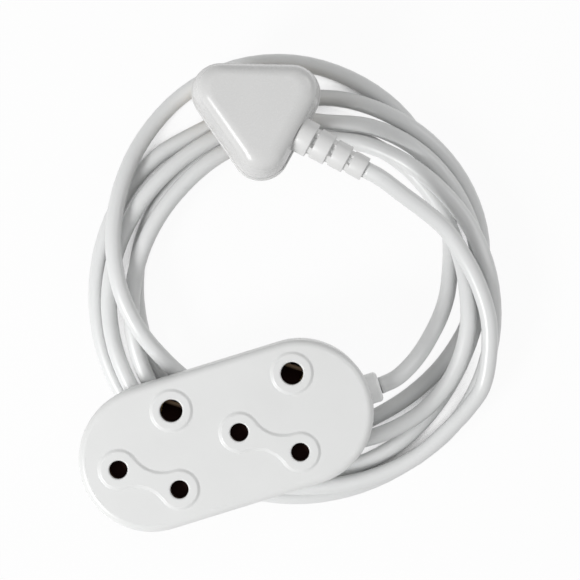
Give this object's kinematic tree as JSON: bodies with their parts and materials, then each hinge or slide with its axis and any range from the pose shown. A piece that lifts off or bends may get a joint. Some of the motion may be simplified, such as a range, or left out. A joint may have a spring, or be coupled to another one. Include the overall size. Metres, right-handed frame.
{
  "type": "extension lead",
  "caption": "White two-way extension lead: double three-pin socket block lying on its coiled round cord, with a moulded three-pin plug.",
  "frame": {"origin": "centre of the socket block", "axes": "+X along the block towards its cord gland, +Y across the block towards the coil's middle, +Z out of the socket face"},
  "size_m": [0.1885, 0.1899, 0.0506],
  "materials": {
    "socket_white": "satin",
    "plug_white": "satin",
    "relief_white": "matt",
    "cord_white": "satin",
    "inner_plastic": "matt",
    "shutter_dark": "matt",
    "core_insulation": "satin",
    "brass": "satin",
    "zinc_steel": "zinc plated",
    "spring_steel": "bright"
  },
  "bodies": {
    "extension_lead": {"block_cover": "socket_white", "block_base": "socket_white", "contact_carrier": "inner_plastic", "busbar_live": "brass", "busbar_neutral": "brass", "busbar_earth": "brass", "contacts_live": "brass", "contacts_neutral": "brass", "contacts_earth": "brass", "shutter_spring_left": "spring_steel", "shutter_spring_right": "spring_steel", "housing_screws": "zinc_steel", "terminal_screws": "brass", "cord_clamp": "inner_plastic", "clamp_screws": "zinc_steel", "gland": "socket_white", "block_cord_end": "cord_white", "block_cores": "core_insulation", "cord_lead": "cord_white", "cord_coil": "cord_white", "cord_tail": "cord_white", "plug_body": "plug_white", "plug_pin_plate": "inner_plastic", "plug_pin_live": "brass", "plug_pin_neutral": "brass", "plug_pin_earth": "brass", "plug_strain_relief": "relief_white", "plug_cord_end": "cord_white", "plug_cores": "core_insulation"},
    "shutter_left": {"shutter_left": "shutter_dark"},
    "shutter_right": {"shutter_right": "shutter_dark"}
  },
  "joints": [
    {"name": "shutter_left_slide", "type": "slide", "parent": "extension_lead", "child": "shutter_left", "axis": [-0.575, -0.8181, 0], "range_m": [0, 0.0073], "stiffness_N_per_m": 60, "springref_m": -0.004, "deforming": ["shutter_spring_left"]},
    {"name": "shutter_right_slide", "type": "slide", "parent": "extension_lead", "child": "shutter_right", "axis": [-0.575, -0.8181, 0], "range_m": [0, 0.0073], "stiffness_N_per_m": 60, "springref_m": -0.004, "deforming": ["shutter_spring_right"]}
  ]
}
